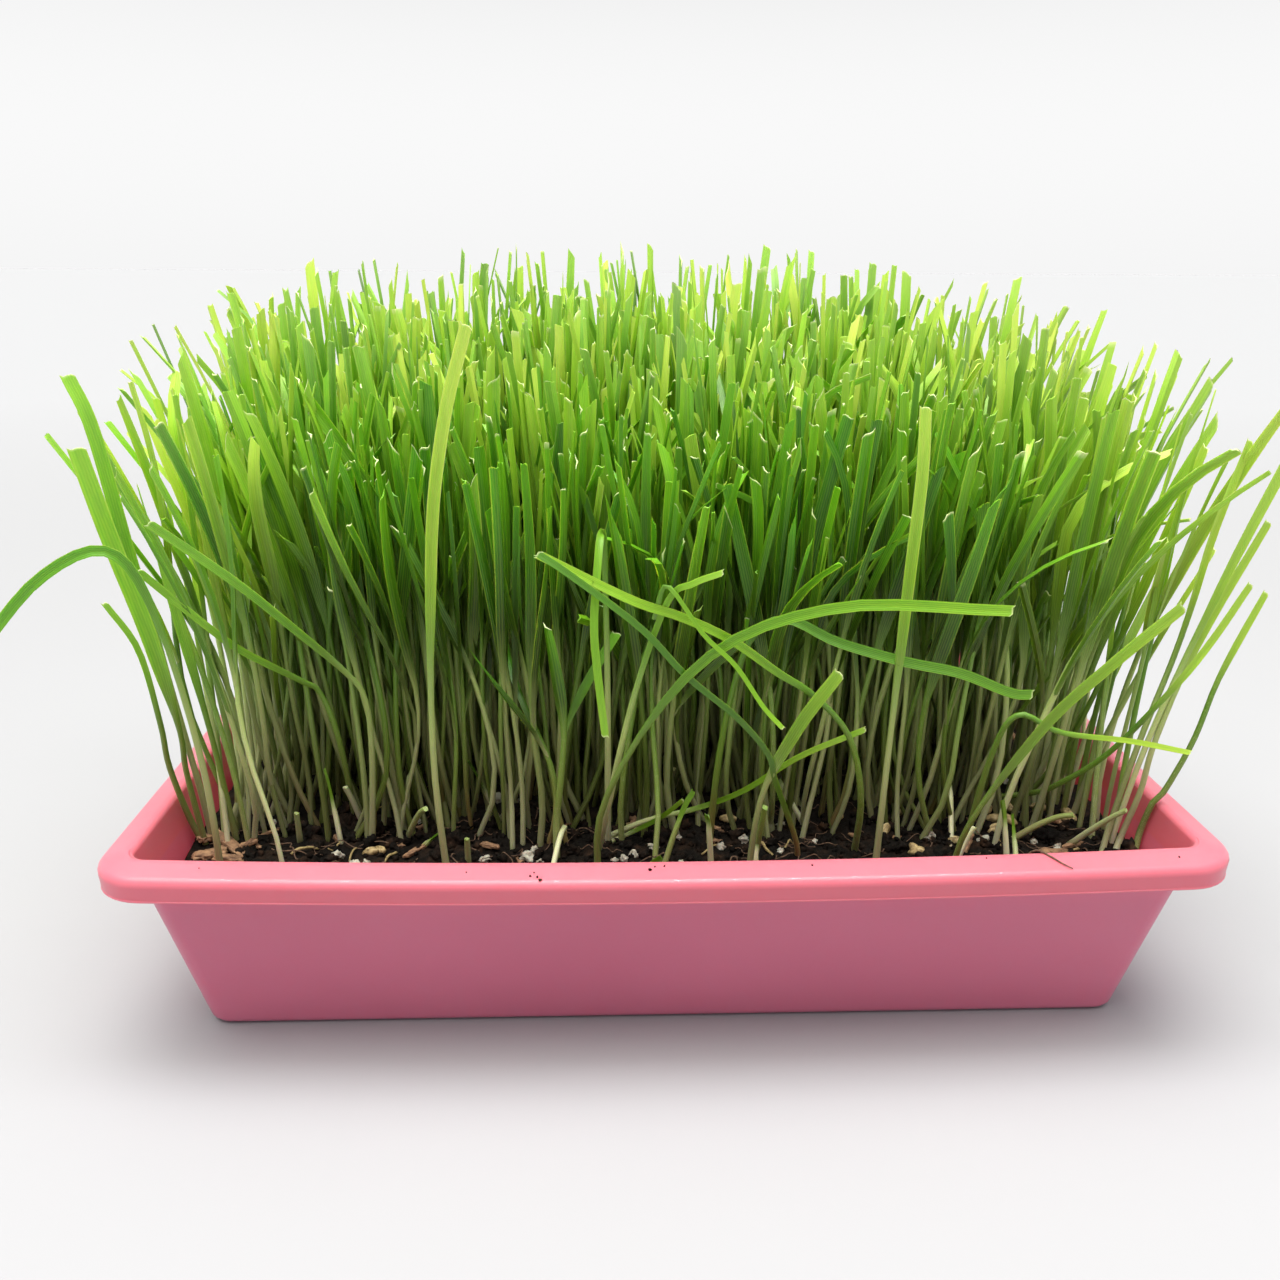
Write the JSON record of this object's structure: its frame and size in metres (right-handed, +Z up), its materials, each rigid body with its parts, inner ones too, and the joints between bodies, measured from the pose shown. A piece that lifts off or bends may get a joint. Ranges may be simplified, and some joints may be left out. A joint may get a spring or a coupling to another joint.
{
  "type": "wheatgrass planter tray",
  "caption": "Cut wheatgrass growing densely from potting soil in a rectangular pink plastic tray with a turned-down rim.",
  "frame": {"origin": "centre of the tray's flat underside", "axes": "+X along the tray's long side, to the right as seen from its front; +Y to its back; +Z up"},
  "size_m": [0.3672, 0.231, 0.2401],
  "materials": {
    "tray_plastic": "soft semi-gloss moulded plastic",
    "soil": "matt, damp, crumbly potting mix with pale grains",
    "grass": "satin green leaf, paler at the stem's foot and at the cut end",
    "fallen_grass": "satin yellow-green leaf"
  },
  "bodies": {
    "root": {"planter_tray": "tray_plastic", "potting_soil": "soil", "grass_clump_01": "grass", "grass_clump_02": "grass", "grass_clump_03": "grass", "grass_clump_04": "grass", "grass_clump_05": "grass", "grass_clump_06": "grass", "grass_clump_07": "grass", "grass_clump_08": "grass", "grass_clump_09": "grass", "grass_clump_10": "grass", "grass_clump_11": "grass", "grass_clump_12": "grass", "grass_clump_13": "grass", "grass_clump_14": "grass", "grass_clump_15": "grass", "grass_clump_16": "grass", "grass_clump_17": "grass", "grass_clump_18": "grass", "grass_clump_19": "grass", "grass_clump_20": "grass", "grass_clump_21": "grass", "grass_clump_22": "grass", "grass_clump_23": "grass", "grass_clump_24": "grass", "grass_clump_25": "grass", "grass_clump_26": "grass", "grass_clump_27": "grass", "grass_clump_28": "grass", "grass_clump_29": "grass", "grass_clump_30": "grass", "grass_clump_31": "grass", "grass_clump_32": "grass", "grass_clump_33": "grass", "leaning_blade_01": "fallen_grass", "leaning_blade_02": "fallen_grass", "leaning_blade_03": "fallen_grass", "leaning_blade_04": "fallen_grass", "leaning_blade_05": "fallen_grass", "leaning_blade_06": "fallen_grass"}
  },
  "joints": []
}
